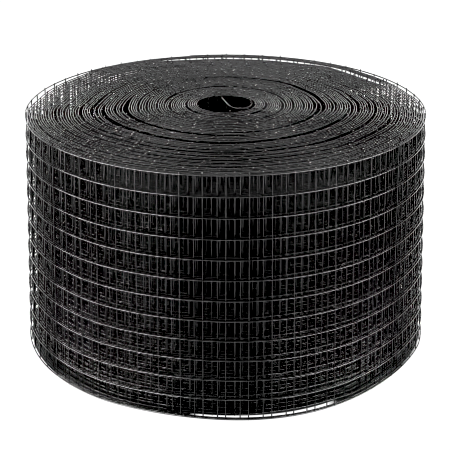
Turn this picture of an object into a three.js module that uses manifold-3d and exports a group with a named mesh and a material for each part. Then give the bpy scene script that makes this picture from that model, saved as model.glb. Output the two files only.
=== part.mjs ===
// Roll of welded wire mesh standing on end. The wound mesh is one solid with its cells sunk between
// the wires of the outer face and its winding cut into the top. The inner end stands loose in the core.
// Millimetres, +Z up, the front towards -Y. The origin is the middle of the foot.

import * as THREE from 'three';
import { mergeVertices } from 'three/addons/utils/BufferGeometryUtils.js';
import Module from 'manifold-3d';

const wasm = await Module();
wasm.setup();

const FULL_TURN = 2 * Math.PI;

// Mesh: line wires run round the roll, cross wires stand upright
const ROWS = 12;
const LINE_WIRE_SPACING = 12.7;
const EDGE_OVERHANG = 1.2;
const ROLL_HEIGHT = ROWS * LINE_WIRE_SPACING + 2 * EDGE_OVERHANG;

// Outer turn, measured at half height, with its cut end at the back
const OUTER_RADIUS = 130.1;
const FOOT_SPREAD = 5.4;
const TURN_PITCH = 1.74;
const OUTER_COLUMNS = 60;
const OUTER_END_ANGLE = THREE.MathUtils.degToRad(102);

// Cells sunk into the outer face between the wires, a little over three turns deep
const CELL_DEPTH = 3.5 * TURN_PITCH;
const RIDGE_HALF_WIDTH = 0.9;

// Open core, a little behind the middle
const CORE_CENTRE = new THREE.Vector2(-1, 6.5);
const CORE_HALF_WIDTH = 18.4;
const CORE_HALF_DEPTH = 19.6;
const CORE_SEGMENTS = 32;
const CUT_MARGIN = 1;

// Main winding on the top, a groove that runs outwards anticlockwise seen from above
const WINDING_INNER_RADIUS = 31;
const WINDING_OUTER_RADIUS = 113;
const WINDING_TURNS = 7;
const WINDING_STEPS_PER_TURN = 36;
const WINDING_START_ANGLE = THREE.MathUtils.degToRad(180);
const WINDING_WIDTH = 2.4;
const WINDING_DEPTH = 5;

// Loose inner end: its route seen from above, from its root on the core's wall to its free tip
const LOOSE_END_ROUTE = [
  { x: 15.8, y: 10.5 },
  { x: 14.6, y: -0.5 },
  { x: 9.4, y: -6.0 },
  { x: 3.4, y: -3.0 },
  { x: 0.4, y: 6.5 },
  { x: -2.6, y: 21.0 },
];
const LOOSE_END_COLUMNS = 4;
const LOOSE_END_STEPS_PER_COLUMN = 4;
const LOOSE_END_THICKNESS = 1.6;
const LOOSE_END_BAR = 1.4;

// The loose end's three stretches, from the root to the tip, with a hair's gap between them
const LOOSE_END_STRETCHES = [
  { name: 'loose_end_root', firstColumn: 0, columns: 1 },
  { name: 'loose_end_bend', firstColumn: 1, columns: 1 },
  { name: 'loose_end_tip', firstColumn: 2, columns: 2 },
];
const STRETCH_GAP = 0.4;

const coatedWire = { color: 0x161616, roughness: 0.42, metalness: 0 };

// Closed geometry to a solid that can be joined and cut
function toSolid(geometry) {
  const bare = geometry.clone();
  bare.deleteAttribute('normal');
  bare.deleteAttribute('uv');
  const merged = mergeVertices(bare);
  const mesh = new wasm.Mesh({
    numProp: 3,
    vertProperties: new Float32Array(merged.getAttribute('position').array),
    triVerts: new Uint32Array(merged.getIndex().array),
  });
  return new wasm.Manifold(mesh);
}

function toGeometry(solid) {
  const mesh = solid.getMesh();
  const geometry = new THREE.BufferGeometry();
  geometry.setAttribute('position', new THREE.BufferAttribute(new Float32Array(mesh.vertProperties), 3));
  geometry.setIndex(new THREE.BufferAttribute(new Uint32Array(mesh.triVerts), 1));
  geometry.computeVertexNormals();
  return geometry;
}

function namedMesh(name, geometry) {
  const mesh = new THREE.Mesh(geometry, new THREE.MeshStandardMaterial(coatedWire));
  mesh.name = name;
  return mesh;
}

// Gathers points and faces of a hand-built closed surface
class Surface {
  points = [];
  faces = [];

  point(radius, angle, z) {
    this.points.push(radius * Math.cos(angle), radius * Math.sin(angle), z);
    return this.points.length / 3 - 1;
  }

  triangle(a, b, c) {
    this.faces.push(a, b, c);
  }

  // Corners run anticlockwise seen from outside
  quad(a, b, c, d) {
    this.triangle(a, b, c);
    this.triangle(a, c, d);
  }

  geometry() {
    const geometry = new THREE.BufferGeometry();
    geometry.setAttribute('position', new THREE.Float32BufferAttribute(this.points, 3));
    geometry.setIndex(this.faces);
    return geometry;
  }
}

// The outer turn grows by one turn pitch on its way round, and narrows from the foot to the top
function outerRadius(column, z) {
  const growth = TURN_PITCH * (column / OUTER_COLUMNS - 0.5);
  const taper = FOOT_SPREAD * (0.5 - z / ROLL_HEIGHT);
  return OUTER_RADIUS + growth + taper;
}

function columnAngle(column) {
  return OUTER_END_ANGLE + (FULL_TURN * column) / OUTER_COLUMNS;
}

function lineWireHeight(row) {
  return EDGE_OVERHANG + row * LINE_WIRE_SPACING;
}

// One mesh cell: a pocket with a flat floor between four wires
function addCell(surface, column, row, corners) {
  const inset = RIDGE_HALF_WIDTH / LINE_WIRE_SPACING;
  const floorPoint = (alongColumn, alongRow) => {
    const z = lineWireHeight(row + alongRow);
    const radius = outerRadius(column + alongColumn, z) - CELL_DEPTH;
    return surface.point(radius, columnAngle(column + alongColumn), z);
  };
  const floor = [
    floorPoint(inset, inset),
    floorPoint(1 - inset, inset),
    floorPoint(1 - inset, 1 - inset),
    floorPoint(inset, 1 - inset),
  ];
  surface.quad(...floor);
  for (let side = 0; side < 4; side += 1) {
    const next = (side + 1) % 4;
    surface.quad(corners[side], corners[next], floor[next], floor[side]);
  }
}

// The whole roll without its core: the outer turn with its wires, closed by flat ends
function outerForm() {
  const surface = new Surface();
  const levels = [0];
  for (let row = 0; row <= ROWS; row += 1) {
    levels.push(lineWireHeight(row));
  }
  levels.push(ROLL_HEIGHT);
  const lastLevel = levels.length - 1;

  const rim = levels.map((z) => {
    const ring = [];
    for (let column = 0; column <= OUTER_COLUMNS; column += 1) {
      ring.push(surface.point(outerRadius(column, z), columnAngle(column), z));
    }
    return ring;
  });

  for (let column = 0; column < OUTER_COLUMNS; column += 1) {
    for (let level = 0; level < lastLevel; level += 1) {
      const corners = [
        rim[level][column],
        rim[level][column + 1],
        rim[level + 1][column + 1],
        rim[level + 1][column],
      ];
      const isEdgeStrip = level === 0 || level === lastLevel - 1;
      if (isEdgeStrip) {
        surface.quad(...corners);
      } else {
        addCell(surface, column, level - 1, corners);
      }
    }
  }

  // Cut end of the mesh: a step of one turn
  for (let level = 0; level < lastLevel; level += 1) {
    surface.quad(
      rim[level][OUTER_COLUMNS],
      rim[level][0],
      rim[level + 1][0],
      rim[level + 1][OUTER_COLUMNS],
    );
  }

  const foot = rim[0];
  const top = rim[lastLevel];
  const footCentre = surface.point(0, 0, 0);
  const topCentre = surface.point(0, 0, ROLL_HEIGHT);
  for (let column = 0; column < OUTER_COLUMNS; column += 1) {
    const next = (column + 1) % OUTER_COLUMNS;
    surface.triangle(footCentre, foot[next], foot[column]);
    surface.triangle(topCentre, top[column], top[next]);
  }
  surface.triangle(foot[0], foot[OUTER_COLUMNS], foot[OUTER_COLUMNS - 1]);
  surface.triangle(top[0], top[OUTER_COLUMNS - 1], top[OUTER_COLUMNS]);
  return toSolid(surface.geometry());
}

function coreHole() {
  const outline = new THREE.Shape();
  outline.absellipse(CORE_CENTRE.x, CORE_CENTRE.y, CORE_HALF_WIDTH, CORE_HALF_DEPTH, 0, FULL_TURN);
  const geometry = new THREE.ExtrudeGeometry(outline, {
    depth: ROLL_HEIGHT + 2 * CUT_MARGIN,
    curveSegments: CORE_SEGMENTS,
    bevelEnabled: false,
  });
  geometry.translate(0, 0, -CUT_MARGIN);
  return toSolid(geometry);
}

// Spiral route of the winding, centred on the core inside and on the roll outside
class Winding extends THREE.Curve {
  getPoint(share, target = new THREE.Vector3()) {
    const angle = WINDING_START_ANGLE + share * WINDING_TURNS * FULL_TURN;
    const radius = THREE.MathUtils.lerp(WINDING_INNER_RADIUS, WINDING_OUTER_RADIUS, share);
    return target.set(
      CORE_CENTRE.x * (1 - share) + radius * Math.cos(angle),
      CORE_CENTRE.y * (1 - share) + radius * Math.sin(angle),
      ROLL_HEIGHT,
    );
  }
}

function windingGroove() {
  const section = new THREE.Shape([
    new THREE.Vector2(-CUT_MARGIN, -WINDING_WIDTH / 2),
    new THREE.Vector2(WINDING_DEPTH, -WINDING_WIDTH / 2),
    new THREE.Vector2(WINDING_DEPTH, WINDING_WIDTH / 2),
    new THREE.Vector2(-CUT_MARGIN, WINDING_WIDTH / 2),
  ]);
  const geometry = new THREE.ExtrudeGeometry(section, {
    steps: WINDING_TURNS * WINDING_STEPS_PER_TURN,
    extrudePath: new Winding(),
  });
  return toSolid(geometry);
}

function rollBody() {
  return outerForm().subtract(coreHole()).subtract(windingGroove());
}

// Upright plate along a stretch of a plan curve, given by its shares of the curve's length
function plateAlong(curve, from, to, steps, thickness, bottom, top) {
  const leftSide = [];
  const rightSide = [];
  for (let step = 0; step <= steps; step += 1) {
    const share = THREE.MathUtils.lerp(from, to, step / steps);
    const middle = curve.getPointAt(share);
    const along = curve.getTangentAt(share);
    const across = new THREE.Vector2(-along.y, along.x).multiplyScalar(thickness / 2);
    leftSide.push(middle.clone().add(across));
    rightSide.unshift(middle.clone().sub(across));
  }
  const geometry = new THREE.ExtrudeGeometry(new THREE.Shape([...leftSide, ...rightSide]), {
    depth: top - bottom,
    bevelEnabled: false,
  });
  geometry.translate(0, 0, bottom);
  return toSolid(geometry);
}

// One stretch of the loose inner end: a bent strip of mesh with its cells cut through
function looseEndStretch({ firstColumn, columns }) {
  const route = new THREE.SplineCurve(LOOSE_END_ROUTE.map(({ x, y }) => new THREE.Vector2(x, y)));
  const routeLength = route.getLength();
  const columnLength = routeLength / LOOSE_END_COLUMNS;
  const lastColumn = firstColumn + columns;
  const start = firstColumn * columnLength + (firstColumn > 0 ? STRETCH_GAP / 2 : 0);
  const end = lastColumn * columnLength - (lastColumn < LOOSE_END_COLUMNS ? STRETCH_GAP / 2 : 0);
  const cellPitch = (end - start - LOOSE_END_BAR) / columns;

  const plate = (from, to, steps, thickness, bottom, top) =>
    plateAlong(route, from / routeLength, to / routeLength, steps, thickness, bottom, top);

  let strip = plate(start, end, columns * LOOSE_END_STEPS_PER_COLUMN, LOOSE_END_THICKNESS, 0, ROLL_HEIGHT);
  for (let column = 0; column < columns; column += 1) {
    const from = start + column * cellPitch + LOOSE_END_BAR;
    const to = start + (column + 1) * cellPitch;
    for (let row = 0; row < ROWS; row += 1) {
      const bottom = lineWireHeight(row) + LOOSE_END_BAR / 2;
      const top = lineWireHeight(row + 1) - LOOSE_END_BAR / 2;
      const thickness = LOOSE_END_THICKNESS + 2 * CUT_MARGIN;
      strip = strip.subtract(plate(from, to, LOOSE_END_STEPS_PER_COLUMN, thickness, bottom, top));
    }
  }
  return strip;
}

const meshRoll = new THREE.Group();
meshRoll.add(namedMesh('wound_mesh', toGeometry(rollBody())));
for (const stretch of LOOSE_END_STRETCHES) {
  meshRoll.add(namedMesh(stretch.name, toGeometry(looseEndStretch(stretch))));
}

export default meshRoll;
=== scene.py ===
"""Looks of a roll of black coated welded wire mesh standing on end.

Every wire is modelled. The line wires run round the roll as one long winding, from the loose end in
the core to the cut end at the back. The cross wires stand upright on the inner side of the line wires.
Lengths are metres. Turns are counted along the winding from the core outwards.
"""
import math

import bpy
import numpy as np
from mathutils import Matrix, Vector


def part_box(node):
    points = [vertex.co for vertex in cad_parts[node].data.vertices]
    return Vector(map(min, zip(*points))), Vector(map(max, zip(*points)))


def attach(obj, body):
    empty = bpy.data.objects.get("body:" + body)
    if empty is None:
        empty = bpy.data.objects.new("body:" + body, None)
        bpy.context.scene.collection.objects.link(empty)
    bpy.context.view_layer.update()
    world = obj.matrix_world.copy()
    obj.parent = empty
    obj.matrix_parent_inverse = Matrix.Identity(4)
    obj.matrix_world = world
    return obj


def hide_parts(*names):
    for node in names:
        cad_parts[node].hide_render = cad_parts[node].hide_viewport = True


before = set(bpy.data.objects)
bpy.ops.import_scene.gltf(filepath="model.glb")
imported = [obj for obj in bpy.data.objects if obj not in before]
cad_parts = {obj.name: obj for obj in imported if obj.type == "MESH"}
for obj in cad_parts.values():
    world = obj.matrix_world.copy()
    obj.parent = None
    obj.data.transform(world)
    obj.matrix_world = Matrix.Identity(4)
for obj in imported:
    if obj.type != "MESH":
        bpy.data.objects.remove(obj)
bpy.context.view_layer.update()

roll_low, roll_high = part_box("wound_mesh")

MM = 0.001
FULL_TURN = 2 * math.pi

# Camera: its distance in front of the roll's axis, its height over the lowest line wire and its tilt down
FRAME_PIXELS = 450
FOCAL_PIXELS = 1302.3
SHIFT_PIXELS = -0.8
SENSOR_WIDTH_MM = 36
CAMERA_DISTANCE = 0.8027
CAMERA_HEIGHT = 0.4059
CAMERA_TILT = 0.3964
NEAR_CLIP = 0.05

# Picture and studio
BLACK_LEVEL = 0.019
PIXEL_FILTER_WIDTH = 1.0
WORLD_BRIGHTNESS = 0.01
FLOOR_SIZE = 12

# Low soft lights: one of each kind on the left and one on the right, with the brightness of each
LOW_SOFTBOXES = [
    {"kind": "front", "x": 0.27, "y": -1.27, "width": 0.55, "left": 14, "right": 9.1},
    {"kind": "side", "x": 1.15, "y": -0.61, "width": 2.0, "left": 90, "right": 58.5},
    {"kind": "back", "x": 1.0, "y": 0.84, "width": 1.0, "left": 9, "right": 9},
]
LOW_SOFTBOX_MIDDLE = 0.16
LOW_SOFTBOX_HEIGHT = 0.3

# High soft lights over the back and the top
HIGH_SOFTBOXES = [
    {"name": "back_softbox", "y": 1.6, "z": 0.9, "width": 1.6, "height": 0.7, "brightness": 4.1},
    {"name": "top_softbox", "y": 0.4, "z": 1.5, "width": 2.0, "height": 1.0, "brightness": 3.4},
]

# Mesh
ROWS = 12
WIRE_DIAMETER = 0.76 * MM
WIRE_RADIUS = WIRE_DIAMETER / 2
CROSS_WIRE_PITCH = 13.5 * MM
EDGE_OVERHANG = 1.2 * MM
WELD_OVERLAP = 0.12 * MM
CROSS_WIRE_INSET = WIRE_DIAMETER - WELD_OVERLAP
ROLL_HEIGHT = roll_high.z
LINE_WIRE_SPACING = (ROLL_HEIGHT - 2 * EDGE_OVERHANG) / ROWS

# Winding
FOOT_SPREAD = 5.4 * MM
FOOT_RADIUS = (roll_high.x - roll_low.x) / 2
TOP_RADIUS = FOOT_RADIUS - FOOT_SPREAD - WIRE_RADIUS
LEFT_BULGE = 1.3 * MM
RIGHT_BULGE = 0.3 * MM
BACK_BULGE = -2.0 * MM
START_ANGLE = math.radians(50)
END_ANGLE = math.radians(102)
FRONT_ANGLE = math.radians(270)
WHOLE_TURNS = 64
TURNS = WHOLE_TURNS + (END_ANGLE - START_ANGLE) / FULL_TURN
OUTER_TURN_MIDDLE = TURNS - 0.5
TURN_CLEARANCE = 0.02 * MM
TIGHT_PITCH = CROSS_WIRE_INSET + WIRE_DIAMETER + TURN_CLEARANCE
CORE_CENTRE = (-0.1 * MM, 7.1 * MM)
CORE_HALF_WIDTH = 18.6 * MM
CORE_HALF_DEPTH = 18.9 * MM

# Gaps between turns: the turn on which the winding steps outwards for each, its size, the middle of the
# arc that it is open on and half the length of that arc, in degrees
GAPS = [
    {"turn": 5, "size": 1.5 * MM, "middle": 270, "reach": 150},
    {"turn": 12, "size": 1.4 * MM, "middle": 270, "reach": 140},
    {"turn": 13, "size": 1.2 * MM, "middle": 90, "reach": 100},
    {"turn": 15, "size": 0.5 * MM, "middle": 270, "reach": 110},
    {"turn": 25, "size": 2.2 * MM, "middle": 320, "reach": 60},
    {"turn": 26, "size": 1.8 * MM, "middle": 40, "reach": 75},
    {"turn": 27, "size": 2.8 * MM, "middle": 225, "reach": 75},
    {"turn": 35, "size": 3.2 * MM, "middle": 265, "reach": 105},
    {"turn": 37, "size": 0.7 * MM, "middle": 185, "reach": 60},
    {"turn": 38, "size": 0.5 * MM, "middle": 350, "reach": 70},
    {"turn": 41, "size": 0.7 * MM, "middle": 190, "reach": 50},
    {"turn": 42, "size": 1.5 * MM, "middle": 262, "reach": 65},
    {"turn": 44, "size": 2.6 * MM, "middle": 270, "reach": 90},
    {"turn": 44, "size": 0.9 * MM, "middle": 355, "reach": 70},
    {"turn": 47, "size": 1.5 * MM, "middle": 258, "reach": 65},
    {"turn": 50, "size": 2.6 * MM, "middle": 290, "reach": 85},
    {"turn": 50, "size": 0.6 * MM, "middle": 190, "reach": 60},
    {"turn": 52, "size": 1.6 * MM, "middle": 285, "reach": 75},
    {"turn": 55, "size": 1.5 * MM, "middle": 262, "reach": 60},
    {"turn": 58, "size": 1.2 * MM, "middle": 300, "reach": 45},
    {"turn": 58, "size": 1.2 * MM, "middle": 230, "reach": 40},
    {"turn": 60, "size": 1.2 * MM, "middle": 243, "reach": 36},
    {"turn": 62, "size": 1.2 * MM, "middle": 302, "reach": 36},
]
GAP_RUN_IN = 0.12

# Gaps near the rim, which close towards the foot
RIM_GAPS = [
    {"turn": 59, "size": 4.2 * MM, "middle": 83, "reach": 35},
    {"turn": 59, "size": 3.4 * MM, "middle": 38, "reach": 16},
    {"turn": 61, "size": 0.6 * MM, "middle": 160, "reach": 24},
    {"turn": 62, "size": 2.8 * MM, "middle": 160, "reach": 24},
    {"turn": 63, "size": 2.4 * MM, "middle": 26, "reach": 22},
]
RIM_CLOSING = 0.8

# Heights at the back, from the core outwards: two steps up, and then a slow way down over many turns
BACK_STEPS = [
    {"turn": 13, "size": 0.45 * MM, "middle": 90, "reach": 110},
    {"turn": 26, "size": 0.45 * MM, "middle": 60, "reach": 110},
]
BACK_DESCENT = {"size": -0.75 * MM, "middle": 80, "reach": 110}
DESCENT_START = 30
DESCENT_TURNS = 28

# Elsewhere the turns lie in tight groups with uneven room between them. The inner and outer turns are
# tight together.
GROUPED_TURNS = 2.2
GROUP_START_SPREAD = 0.7
GROUP_ROOM_SHARES = (0.3, 1.7)
TIGHT_INNER_TURNS = 16
TIGHT_OUTER_TURNS = 10

# Unevenness of the turns
RADIUS_WOBBLE = 0.05 * MM
WOBBLES_PER_TURN = 5
SETTLING = 0.35 * MM
GROUP_LIFT = 0.1 * MM
GROUP_LIFTS_PER_TURN = 0.3
TURN_LIFT = 0.04 * MM
TURN_LIFTS_PER_TURN = 1.7
PAIR_LIFT = 0.1 * MM
PAIR_START = 0.53
LEVEL_OUTER_TURNS = 2
LEVELLING_TURNS = 3
LOOSE_END_LIFT = 0.8 * MM

# Unevenness of the cross wires, and the thickness of their ends
CROSS_WIRE_SHIFT = 0.12 * MM
CROSS_WIRE_LEAN = 0.25 * MM
FOOT_REACH_SHARES = (0.6, 1.0)
TOP_REACH_SHARES = (0.4, 1.3)
CUT_SLOPE = 0.4
CUT_BEVEL = 0.5 * WIRE_RADIUS
FOOT_END_TAPER = 0.7
TOP_END_TAPER = 0.9

# The foot waves in and out at the front. The turns inside the last two stand back from them there.
FOOT_WAVE = 1.6 * MM
FOOT_WAVE_MIDDLE = math.radians(-71)
FOOT_WAVE_LENGTH = math.radians(73)
FOOT_WAVE_PART = 0.75
LOOSE_OUTER_TURNS = 1.9
LOOSENING_TURNS = 0.5
STAND_BACK = 1.6 * MM
STAND_BACK_MIDDLE = math.radians(-79)
STAND_BACK_HALF_WIDTH = math.radians(18)
STAND_BACK_FADE = math.radians(10)

# The floor's glow has painted shade from just inside the foot's edge, and a painted lit strip in the gap
# behind the last turns.
PAINTED_SHADE_START = 1.6 * MM
PAINTED_SHADE_FADE = 0.8 * MM
PAINTED_LIT_GAP_HALF_WIDTH = math.radians(21)
PAINTED_LIT_GAP_END_FADE = math.radians(3)
PAINTED_LIT_GAP_START = 4.3 * MM
PAINTED_LIT_GAP_END = 7.1 * MM

# Loose inner end, seen from above, from its free tip to its root on the core's wall
LOOSE_END_ROUTE = [
    {"x": -2.8 * MM, "y": 20.2 * MM},
    {"x": -0.5 * MM, "y": 10.9 * MM},
    {"x": 1.9 * MM, "y": 2.0 * MM},
    {"x": 5.3 * MM, "y": -2.9 * MM},
    {"x": 10.2 * MM, "y": -4.7 * MM},
    {"x": 14.7 * MM, "y": -1.6 * MM},
    {"x": 16.9 * MM, "y": 5.9 * MM},
    {"x": 16.7 * MM, "y": 13.0 * MM},
]
LEAD_IN_TURNS = 0.04

# Fineness of the wires' meshes, and the line wires that make up each piece, counted from the foot
WIRE_SIDES = 6
INNER_STEP = 6.8 * MM
OUTER_STEP = 2.4 * MM
FINE_OUTER_TURNS = 1.1
WIDEST_STEP_ANGLE = math.radians(7)
STEPS_PER_KNOT = 8
LINE_WIRE_GROUPS = [(0, 1, 2), (3, 4, 5), (6, 7, 8), (9, 10), (11, 12)]

# Flat map of a piece: tiles that each hold some steps of a wire's side, with its end faces beside them
LINE_WIRE_TILE_STEPS = 120
CROSS_WIRE_TILE_STEPS = 5
CROSS_WIRE_TILE_COLUMNS = 16
TILE_MARGIN = 0.02
TILE_SIDE_SHARE = 0.9
TILE_END_MIDDLE = (0.95, 0.5)
TILE_END_REACH = (0.04, 0.4)
SIDE_CORNERS = 4


def smooth_step(value):
    value = np.clip(value, 0.0, 1.0)
    return value * value * (3 - 2 * value)


def smooth_noise(position, seed):
    """Smooth uneven values from -1 to 1 along a line, with a knot at each whole position."""
    position = np.asarray(position, float)
    knots = np.random.default_rng(seed).uniform(-1, 1, int(position.max()) + 3)
    below = np.floor(position).astype(int)
    blend = smooth_step(position - below)
    return knots[below] * (1 - blend) + knots[below + 1] * blend


def winding_angle(turn):
    return START_ANGLE + FULL_TURN * turn


def core_radius(angle):
    """Distance from the roll's axis to the oval core's wall."""
    cos, sin = np.cos(angle), np.sin(angle)
    wide, deep = CORE_HALF_WIDTH**2, CORE_HALF_DEPTH**2
    centre_x, centre_y = CORE_CENTRE
    square = cos**2 / wide + sin**2 / deep
    linear = centre_x * cos / wide + centre_y * sin / deep
    constant = centre_x**2 / wide + centre_y**2 / deep - 1
    return (linear + np.sqrt(linear**2 - square * constant)) / square


def outer_radius(angle):
    """Distance from the axis to the outer turn's top line wire, a little out of round."""
    cos, sin = np.cos(angle), np.sin(angle)
    sideways = np.where(cos > 0, RIGHT_BULGE, LEFT_BULGE)
    backwards = np.where(sin > 0, BACK_BULGE, 0)
    return TOP_RADIUS + sideways * cos**2 + backwards * sin**2


def away_from(angle, middle):
    """Angle between two directions, from 0 to half a turn."""
    return np.abs(np.angle(np.exp(1j * (angle - middle))))


def slack_share(turn):
    """Share of the slack outside the gaps above that lies within this turn, in small uneven steps."""
    random = np.random.default_rng(seed=5)
    starts = np.arange(TIGHT_INNER_TURNS, WHOLE_TURNS - TIGHT_OUTER_TURNS, GROUPED_TURNS)
    starts = starts + random.uniform(-GROUP_START_SPREAD, GROUP_START_SPREAD, len(starts))
    widths = random.uniform(*GROUP_ROOM_SHARES, len(starts))
    share = np.zeros_like(turn)
    for start, width in zip(starts, widths):
        share = share + width * smooth_step((turn - start) / GAP_RUN_IN)
    return share / widths.sum()


def arc_size(row, angle):
    """Size of a gap or step at this angle: whole on the middle half of its arc, and nothing at its ends."""
    off_middle = away_from(angle, math.radians(row["middle"]))
    return row["size"] * smooth_step(2 * (1 - off_middle / math.radians(row["reach"])))


def passed(row, turn):
    """0 on the turns inside a gap or step and 1 on those outside it.

    It changes on the far side from the arc, where the gap or step has no size.
    """
    far_side = math.radians(row["middle"]) + FULL_TURN / 2
    start = row["turn"] + ((far_side - START_ANGLE) / FULL_TURN - GAP_RUN_IN / 2) % 1
    return smooth_step((turn - start) / GAP_RUN_IN)


def top_radius(turn):
    """Distance from the axis to the middle of the top line wire."""
    angle = winding_angle(turn)
    core = core_radius(angle)
    slack = outer_radius(angle) - core - TIGHT_PITCH * OUTER_TURN_MIDDLE
    radius = core + TIGHT_PITCH * turn
    for gap in GAPS + RIM_GAPS:
        width = arc_size(gap, angle)
        radius = radius + width * passed(gap, turn)
        slack = slack - width
    wobble = RADIUS_WOBBLE * smooth_noise(turn * WOBBLES_PER_TURN, seed=3)
    return radius + slack * slack_share(turn) + wobble


def foot_wave(angle):
    """How far the foot of the last turns stands out: a swell at the front with a hollow on each side."""
    waves = away_from(angle, FOOT_WAVE_MIDDLE) / FOOT_WAVE_LENGTH
    return FOOT_WAVE * np.cos(FULL_TURN * np.minimum(waves, FOOT_WAVE_PART))


def foot_spread(turn):
    """How much further out a turn stands at the foot than at the top."""
    angle = winding_angle(turn)
    off_middle = away_from(angle, STAND_BACK_MIDDLE)
    stand_back = STAND_BACK * smooth_step(1 - (off_middle - STAND_BACK_HALF_WIDTH) / STAND_BACK_FADE)
    wave = foot_wave(angle)
    inner_spread = (FOOT_SPREAD + np.minimum(wave, 0) - stand_back) * turn / TURNS
    outer_spread = FOOT_SPREAD * turn / TURNS + wave
    outer = smooth_step((turn - (TURNS - LOOSE_OUTER_TURNS - LOOSENING_TURNS)) / LOOSENING_TURNS)
    spread = inner_spread + (outer_spread - inner_spread) * outer
    for gap in RIM_GAPS:
        spread = spread - RIM_CLOSING * arc_size(gap, angle) * passed(gap, turn)
    return spread


def lift(turn):
    """Height of a turn over the outer ones. The inner turns have settled a little."""
    angle = winding_angle(turn)
    groups = GROUP_LIFT * smooth_noise(turn * GROUP_LIFTS_PER_TURN, seed=11)
    turns = TURN_LIFT * smooth_noise(turn * TURN_LIFTS_PER_TURN, seed=12)
    pairs = PAIR_LIFT * np.cos(math.pi * (turn - PAIR_START))
    rise = groups + turns + pairs - SETTLING
    for step in BACK_STEPS:
        rise = rise + arc_size(step, angle) * (passed(step, turn) - 0.5)
    descended = smooth_step((turn - DESCENT_START) / DESCENT_TURNS)
    rise = rise + arc_size(BACK_DESCENT, angle) * (descended - 0.5)
    level = smooth_step((turn - (TURNS - LEVEL_OUTER_TURNS - LEVELLING_TURNS)) / LEVELLING_TURNS)
    return rise * (1 - level)


def plan_points(turns):
    """Points of the winding's top line wire, seen from above."""
    angle = winding_angle(turns)
    return top_radius(turns)[:, None] * np.stack([np.cos(angle), np.sin(angle)], axis=1)


def hook_plan():
    """Points of the loose end seen from above: a smooth curve from its tip to the winding's start."""
    route = np.array([[row["x"], row["y"]] for row in LOOSE_END_ROUTE])
    before_tip = 2 * route[0] - route[1]
    knots = np.vstack([before_tip, route, plan_points(np.array([0.0, LEAD_IN_TURNS]))])
    share = np.linspace(0, 1, STEPS_PER_KNOT, endpoint=False)[:, None]
    spans = []
    for before, left, right, after in zip(knots[:-3], knots[1:-2], knots[2:-1], knots[3:]):
        slope = right - before
        bend = 2 * before - 5 * left + 4 * right - after
        sway = 3 * left - before - 3 * right + after
        spans.append(0.5 * (2 * left + slope * share + bend * share**2 + sway * share**3))
    return np.vstack(spans)


def sample_turns(first, last, longest_step):
    """Turns along the winding, close enough for a smooth wire at each radius."""
    turns = [float(first)]
    while turns[-1] < last:
        radius = float(top_radius(np.array([turns[-1]]))[0])
        step = min(longest_step / radius, WIDEST_STEP_ANGLE) / FULL_TURN
        turns.append(min(last, turns[-1] + step))
    return np.array(turns)


class Strip:
    """The strip of mesh along its whole length: plan points, sideways directions, lift and spread."""

    def __init__(self, turns):
        hook = hook_plan()
        rise = lift(turns)
        # The loose end stands higher, and comes down to the winding in its last third
        loose = smooth_step(np.linspace(3, 0, len(hook)))
        self.hook_points = len(hook)
        self.plan = np.vstack([hook, plan_points(turns)])
        self.rise = np.concatenate([rise[0] + LOOSE_END_LIFT * loose, rise])
        self.spread = np.concatenate([np.zeros(len(hook)), foot_spread(turns)])
        along = np.gradient(self.plan, axis=0)
        self.along = along / np.linalg.norm(along, axis=1)[:, None]
        self.outwards = np.stack([self.along[:, 1], -self.along[:, 0]], axis=1)
        middle = self.plan + 0.5 * self.spread[:, None] * self.outwards
        steps = np.linalg.norm(np.diff(middle, axis=0), axis=1)
        self.length = np.concatenate([[0.0], np.cumsum(steps)])

    def at(self, lengths, values):
        """Values along the strip at the given lengths from its tip."""
        if values.ndim == 1:
            return np.interp(lengths, self.length, values)
        return np.stack([np.interp(lengths, self.length, column) for column in values.T], axis=1)

    def line_wire(self, row, keep):
        """Points of one line wire, counted from the foot."""
        share_down = 1 - row / ROWS
        points = self.plan + share_down * self.spread[:, None] * self.outwards
        height = EDGE_OVERHANG + row * LINE_WIRE_SPACING + self.rise
        return np.column_stack([points, height])[keep]


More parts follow.
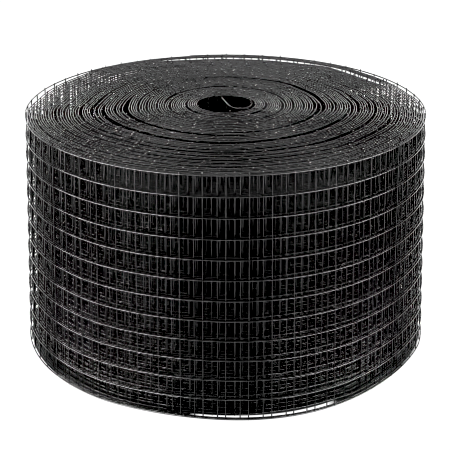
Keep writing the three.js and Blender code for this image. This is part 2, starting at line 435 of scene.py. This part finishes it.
class Tubes:
    """Gathers closed tubes for one mesh, with a place for each on the mesh's flat map."""

    def __init__(self):
        self.points = []
        self.corners = []
        self.sizes = []
        self.tiles = []
        self.flat = []
        self.point_count = 0
        self.tile_count = 0

    def add(self, rings, tile_steps):
        """rings is tubes x steps x sides x 3. Each tile of the map holds tile_steps steps of a tube."""
        tubes, steps, sides, _ = rings.shape
        index = np.arange(tubes * steps * sides).reshape(tubes, steps, sides) + self.point_count
        following = np.roll(index, -1, axis=2)
        quads = np.stack(
            [index[:, :-1], following[:, :-1], following[:, 1:], index[:, 1:]], axis=-1
        )
        self.points.append(rings.reshape(-1, 3))
        self.point_count += tubes * steps * sides
        self._side_faces(quads, tile_steps)
        self._end_faces(index[:, 0, ::-1])
        self._end_faces(index[:, -1])

    def _side_faces(self, quads, tile_steps):
        tubes, steps, sides, _ = quads.shape
        tiles_per_tube = -(-steps // tile_steps)
        tube, step, side = np.indices((tubes, steps, sides))
        tile = self.tile_count + tube * tiles_per_tube + step // tile_steps
        left = (step % tile_steps) / tile_steps
        low = side / sides
        right, high = left + 1 / tile_steps, low + 1 / sides
        across = np.stack([left, left, right, right], axis=-1) * TILE_SIDE_SHARE
        around = np.stack([low, high, high, low], axis=-1)
        self._faces(quads.reshape(-1, SIDE_CORNERS), tile.reshape(-1), across, around)
        self.tile_count += tubes * tiles_per_tube

    def _end_faces(self, polygons):
        tubes, sides = polygons.shape
        angle = FULL_TURN * np.arange(sides) / sides
        across = TILE_END_MIDDLE[0] + TILE_END_REACH[0] * np.cos(angle)
        around = TILE_END_MIDDLE[1] + TILE_END_REACH[1] * np.sin(angle)
        last_tiles = np.arange(tubes) + max(self.tile_count - tubes, 0)
        shape = (tubes, sides)
        self._faces(polygons, last_tiles, np.broadcast_to(across, shape), np.broadcast_to(around, shape))

    def _faces(self, polygons, tile, across, around):
        count, size = polygons.shape
        self.corners.append(polygons.reshape(-1))
        self.sizes.append(np.full(count, size))
        self.tiles.append(np.repeat(tile, size))
        self.flat.append(np.stack([across.reshape(-1), around.reshape(-1)], axis=1))

    def make_object(self, name, coat, cut_ends, tile_columns):
        points = np.vstack(self.points)
        corners = np.concatenate(self.corners)
        sizes = np.concatenate(self.sizes)
        mesh = bpy.data.meshes.new(name)
        mesh.vertices.add(len(points))
        mesh.vertices.foreach_set("co", points.astype(np.float32).ravel())
        mesh.loops.add(len(corners))
        mesh.loops.foreach_set("vertex_index", corners.astype(np.int32))
        mesh.polygons.add(len(sizes))
        starts = np.concatenate([[0], np.cumsum(sizes)[:-1]])
        mesh.polygons.foreach_set("loop_start", starts.astype(np.int32))
        mesh.polygons.foreach_set("use_smooth", sizes == SIDE_CORNERS)
        mesh.polygons.foreach_set("material_index", (sizes != SIDE_CORNERS).astype(np.int32))
        mesh.update(calc_edges=True)

        tile = np.concatenate(self.tiles)
        tile_rows = -(-self.tile_count // tile_columns)
        column_row = np.stack([tile % tile_columns, tile // tile_columns], axis=1)
        flat = TILE_MARGIN + (1 - 2 * TILE_MARGIN) * np.vstack(self.flat)
        flat = (column_row + flat) / np.array([tile_columns, tile_rows])
        layer = mesh.uv_layers.new(name="OFBake")
        layer.data.foreach_set("uv", flat.astype(np.float32).ravel())

        piece = bpy.data.objects.new(name, mesh)
        bpy.context.scene.collection.objects.link(piece)
        mesh.materials.append(coat)
        mesh.materials.append(cut_ends)
        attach(piece, "root")
        return piece


def tube_rings(points, first_side, second_side, radius):
    """Rings of a tube round each point. The two side directions and the radius may vary along it."""
    turn = FULL_TURN * np.arange(WIRE_SIDES) / WIRE_SIDES
    radius = np.broadcast_to(radius, points.shape[:-1])[..., None, None]
    first = np.cos(turn)[:, None] * first_side[..., None, :]
    second = np.sin(turn)[:, None] * second_side[..., None, :]
    return points[..., None, :] + radius * (first + second)


def line_wire_rings(strip, row, keep):
    points = strip.line_wire(row, keep)
    outwards = np.column_stack([strip.outwards[keep], np.zeros(len(points))])
    upwards = np.broadcast_to([0.0, 0.0, 1.0], points.shape)
    return tube_rings(points, upwards, outwards, WIRE_RADIUS)[None]


def cross_wire_rings(strip, lengths, seed):
    """Upright wires with slanting cut ends, a little uneven in place, lean and reach."""
    random = np.random.default_rng(seed)
    count = len(lengths)
    lengths = lengths + random.normal(0, CROSS_WIRE_SHIFT, count)
    plan = strip.at(lengths, strip.plan)
    outwards = strip.at(lengths, strip.outwards)
    along = strip.at(lengths, strip.along)
    rise = strip.at(lengths, strip.rise)
    spread = strip.at(lengths, strip.spread)
    lean = random.normal(0, CROSS_WIRE_LEAN, count)
    foot_reach = (EDGE_OVERHANG + rise) * random.uniform(*FOOT_REACH_SHARES, count)
    top_reach = EDGE_OVERHANG * random.uniform(*TOP_REACH_SHARES, count)

    foot = EDGE_OVERHANG - foot_reach + rise
    top = EDGE_OVERHANG + ROWS * LINE_WIRE_SPACING + top_reach + rise
    from_foot = [foot, foot + CUT_BEVEL, foot + 2 * CUT_BEVEL]
    to_top = [top - 2 * CUT_BEVEL, top - CUT_BEVEL, top]
    heights = np.stack(from_foot + to_top, axis=1)
    steps = heights.shape[1]
    radii = np.full((count, steps), WIRE_RADIUS)
    radii[:, 0] *= FOOT_END_TAPER
    radii[:, -1] *= TOP_END_TAPER
    share_down = 1 - (heights - EDGE_OVERHANG - rise[:, None]) / (ROWS * LINE_WIRE_SPACING)
    out = share_down * spread[:, None] - CROSS_WIRE_INSET
    aside = (share_down - 0.5) * lean[:, None]
    flat = (
        plan[:, None]
        + out[..., None] * outwards[:, None]
        + aside[..., None] * along[:, None]
    )
    points = np.concatenate([flat, heights[..., None]], axis=2)
    along = np.broadcast_to(np.pad(along, ((0, 0), (0, 1)))[:, None], (count, steps, 3))
    outwards = np.broadcast_to(np.pad(outwards, ((0, 0), (0, 1)))[:, None], (count, steps, 3))
    rings = tube_rings(points, along, outwards, radii)
    slope = random.uniform(-CUT_SLOPE, CUT_SLOPE, (count, 1, 2))
    rings[:, -1, :, 2] += ((rings[:, -1] - points[:, -1:])[..., :2] * slope).sum(axis=-1)
    return rings


def new_material(name):
    """A material with its node tree and its shader."""
    material = bpy.data.materials.new(name)
    material.use_nodes = True
    tree = material.node_tree
    return material, tree, tree.nodes["Principled BSDF"]


def uneven(tree, scale, detail):
    """Noise from 0 to 1 that is fixed to the object."""
    place = tree.nodes.new("ShaderNodeTexCoord")
    noise = tree.nodes.new("ShaderNodeTexNoise")
    noise.inputs["Scale"].default_value = scale
    noise.inputs["Detail"].default_value = detail
    tree.links.new(place.outputs["Object"], noise.inputs["Vector"])
    return noise.outputs["Fac"]


def grey_ramp(tree, value, stops):
    """Grey that goes from a dark stop to a light one as the value rises."""
    ramp = tree.nodes.new("ShaderNodeValToRGB")
    for element, stop in zip(ramp.color_ramp.elements, stops):
        element.position = stop["at"]
        element.color = (stop["grey"], stop["grey"], stop["grey"], 1)
    tree.links.new(value, ramp.inputs["Fac"])
    return ramp.outputs["Color"]


def map_range(tree, value, from_low, from_high, to_low=0, to_high=1):
    node = tree.nodes.new("ShaderNodeMapRange")
    node.inputs["From Min"].default_value = from_low
    node.inputs["From Max"].default_value = from_high
    node.inputs["To Min"].default_value = to_low
    node.inputs["To Max"].default_value = to_high
    tree.links.new(value, node.inputs["Value"])
    return node.outputs["Result"]


def coated_wire_material():
    """Black plastic coat over wire: half gloss, a little uneven in colour, gloss and surface."""
    material, tree, shader = new_material("coated_wire")
    shader.inputs["Specular IOR Level"].default_value = 0.55

    stops = [{"at": 0.3, "grey": 0.001}, {"at": 0.75, "grey": 0.003}]
    tone = grey_ramp(tree, uneven(tree, scale=260, detail=3), stops)
    tree.links.new(tone, shader.inputs["Base Color"])

    blotches = uneven(tree, scale=420, detail=2)
    roughness = map_range(tree, blotches, 0.3, 0.7, to_low=0.12, to_high=0.24)
    tree.links.new(roughness, shader.inputs["Roughness"])

    bump = tree.nodes.new("ShaderNodeBump")
    bump.inputs["Strength"].default_value = 0.25
    bump.inputs["Distance"].default_value = 0.05 * MM
    tree.links.new(uneven(tree, scale=1400, detail=2), bump.inputs["Height"])
    tree.links.new(bump.outputs["Normal"], shader.inputs["Normal"])
    return material


def cut_end_material():
    """Bare steel where a wire was cut off, dull in places and smeared with the coat in others."""
    material, tree, shader = new_material("cut_ends")
    shader.inputs["Metallic"].default_value = 1
    shader.inputs["Roughness"].default_value = 0.35

    stops = [{"at": 0.52, "grey": 0.02}, {"at": 0.64, "grey": 0.4}]
    tone = grey_ramp(tree, uneven(tree, scale=900, detail=2), stops)
    tree.links.new(tone, shader.inputs["Base Color"])
    return material


def make_camera():
    """The photo's view: from the front and above, with a long lens."""
    camera_data = bpy.data.cameras.new("camera")
    camera = bpy.data.objects.new("camera", camera_data)
    bpy.context.scene.collection.objects.link(camera)
    camera_data.sensor_width = SENSOR_WIDTH_MM
    camera_data.lens = FOCAL_PIXELS / FRAME_PIXELS * camera_data.sensor_width
    camera_data.shift_x = SHIFT_PIXELS / FRAME_PIXELS
    camera_data.clip_start = NEAR_CLIP
    camera.location = (0, -CAMERA_DISTANCE, CAMERA_HEIGHT + EDGE_OVERHANG)
    camera.rotation_euler = (math.pi / 2 - CAMERA_TILT, 0, 0)
    bpy.context.scene.camera = camera


def make_wires(coat, cut_ends):
    """The line wires in groups, the cross wires of the winding, and all wires of the loose end."""
    fine_start = TURNS - FINE_OUTER_TURNS
    inner = sample_turns(0, fine_start, INNER_STEP)
    outer = sample_turns(fine_start, TURNS, OUTER_STEP)
    turns = np.concatenate([inner, outer[1:]])
    strip = Strip(turns)
    hook = np.arange(len(strip.plan)) <= strip.hook_points
    wound = np.arange(len(strip.plan)) >= strip.hook_points

    # One cross wire stands at the very front of the outer turn, and the others follow from it
    front_turn = (FRONT_ANGLE - START_ANGLE + FULL_TURN * (WHOLE_TURNS - 1)) / FULL_TURN
    front_length = np.interp(front_turn, turns, strip.length[strip.hook_points:])
    lengths = np.arange(front_length % CROSS_WIRE_PITCH, strip.length[-1], CROSS_WIRE_PITCH)
    hook_end = strip.length[strip.hook_points]

    for number, rows in enumerate(LINE_WIRE_GROUPS):
        tubes = Tubes()
        for row in rows:
            tubes.add(line_wire_rings(strip, row, wound), LINE_WIRE_TILE_STEPS)
        piece = tubes.make_object(f"line_wires_{number + 1}", coat, cut_ends, tile_columns=1)
        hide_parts("wound_mesh")

    tubes = Tubes()
    tubes.add(cross_wire_rings(strip, lengths[lengths >= hook_end], seed=21), CROSS_WIRE_TILE_STEPS)
    piece = tubes.make_object("cross_wires", coat, cut_ends, CROSS_WIRE_TILE_COLUMNS)
    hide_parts("wound_mesh")

    tubes = Tubes()
    for row in range(ROWS + 1):
        tubes.add(line_wire_rings(strip, row, hook), LINE_WIRE_TILE_STEPS)
    tubes.add(cross_wire_rings(strip, lengths[lengths < hook_end], seed=22), CROSS_WIRE_TILE_STEPS)
    piece = tubes.make_object("loose_end_wires", coat, cut_ends, tile_columns=1)
    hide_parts("loose_end_root", "loose_end_bend", "loose_end_tip")


def make_floor():
    """A plain white floor that shines softly. Its glow has painted shade under the roll, but for a painted
    lit strip at the front.
    """
    bpy.ops.mesh.primitive_plane_add(size=FLOOR_SIZE)
    floor = bpy.context.active_object
    floor.name = "floor"
    material, tree, shader = new_material("floor")
    shader.inputs["Base Color"].default_value = (0.04, 0.04, 0.04, 1)
    shader.inputs["Roughness"].default_value = 0.9
    shader.inputs["Specular IOR Level"].default_value = 0
    shader.inputs["Emission Color"].default_value = (1, 1, 1, 1)

    def maths(operation, *values):
        node = tree.nodes.new("ShaderNodeMath")
        node.operation = operation
        for value, socket in zip(values, node.inputs):
            if isinstance(value, float):
                socket.default_value = value
            else:
                tree.links.new(value, socket)
        return node.outputs["Value"]

    place = tree.nodes.new("ShaderNodeTexCoord")
    length = tree.nodes.new("ShaderNodeVectorMath")
    length.operation = "LENGTH"
    tree.links.new(place.outputs["Object"], length.inputs[0])
    across = tree.nodes.new("ShaderNodeSeparateXYZ")
    tree.links.new(place.outputs["Object"], across.inputs["Vector"])
    angle = maths("ARCTAN2", across.outputs["Y"], across.outputs["X"])

    def off_angle(middle):
        return maths("ABSOLUTE", maths("SUBTRACT", angle, middle))

    waves = maths("DIVIDE", off_angle(FOOT_WAVE_MIDDLE), FOOT_WAVE_LENGTH)
    swing = maths("MULTIPLY", maths("MINIMUM", waves, FOOT_WAVE_PART), FULL_TURN)
    wave = maths("MULTIPLY", maths("COSINE", swing), FOOT_WAVE)
    distance = maths("SUBTRACT", length.outputs["Value"], wave)

    def across_edge(inset, inside=0, outside=1):
        start = FOOT_RADIUS - inset
        return map_range(tree, distance, start, start + PAINTED_SHADE_FADE, inside, outside)

    # Painted lit strip: the glow comes back in a band behind the last turns at the front
    past_gap_end = across_edge(PAINTED_LIT_GAP_END)
    before_gap_start = across_edge(PAINTED_LIT_GAP_START, inside=1, outside=0)
    in_gap = maths("MULTIPLY", past_gap_end, before_gap_start)
    fade_start = PAINTED_LIT_GAP_HALF_WIDTH - PAINTED_LIT_GAP_END_FADE
    off_front = off_angle(STAND_BACK_MIDDLE)
    at_front = map_range(tree, off_front, fade_start, PAINTED_LIT_GAP_HALF_WIDTH, to_low=1, to_high=0)
    painted_lit_gap = maths("MULTIPLY", in_gap, at_front)
    # Painted shade: the glow stops just inside the foot's edge, but for the painted lit strip
    glow_with_painted_shade = maths("MAXIMUM", across_edge(PAINTED_SHADE_START), painted_lit_gap)
    tree.links.new(glow_with_painted_shade, shader.inputs["Emission Strength"])
    floor.data.materials.append(material)


def make_softbox(name, location, width, height, brightness):
    """A soft light turned towards the roll. The brightness is that of its face."""
    data = bpy.data.lights.new(name, "AREA")
    data.shape = "RECTANGLE"
    data.size = width
    data.size_y = height
    data.energy = brightness * math.pi * width * height
    light = bpy.data.objects.new(name, data)
    light.location = location
    aim = Vector((0, 0, ROLL_HEIGHT / 2)) - light.location
    light.rotation_mode = "QUATERNION"
    light.rotation_quaternion = aim.to_track_quat("-Z", "Y")
    bpy.context.scene.collection.objects.link(light)


def make_studio():
    """Soft lights round the roll, a faint even light from all sides, and a picture with deep blacks."""
    scene = bpy.context.scene
    scene.cycles.filter_width = PIXEL_FILTER_WIDTH
    view = scene.view_settings
    view.view_transform = "Standard"
    view.use_curve_mapping = True
    view.curve_mapping.black_level = (BLACK_LEVEL, BLACK_LEVEL, BLACK_LEVEL)
    view.curve_mapping.update()

    world = bpy.data.worlds.new("studio")
    world.use_nodes = True
    background = world.node_tree.nodes["Background"]
    background.inputs["Color"].default_value = (1, 1, 1, 1)
    background.inputs["Strength"].default_value = WORLD_BRIGHTNESS
    scene.world = world

    for side, sign in (("left", -1), ("right", 1)):
        for row in LOW_SOFTBOXES:
            name = f"{side}_{row['kind']}_softbox"
            location = (sign * row["x"], row["y"], LOW_SOFTBOX_MIDDLE)
            make_softbox(name, location, row["width"], LOW_SOFTBOX_HEIGHT, row[side])
    for row in HIGH_SOFTBOXES:
        location = (0, row["y"], row["z"])
        make_softbox(row["name"], location, row["width"], row["height"], row["brightness"])


make_camera()
make_studio()
make_floor()
make_wires(coated_wire_material(), cut_end_material())
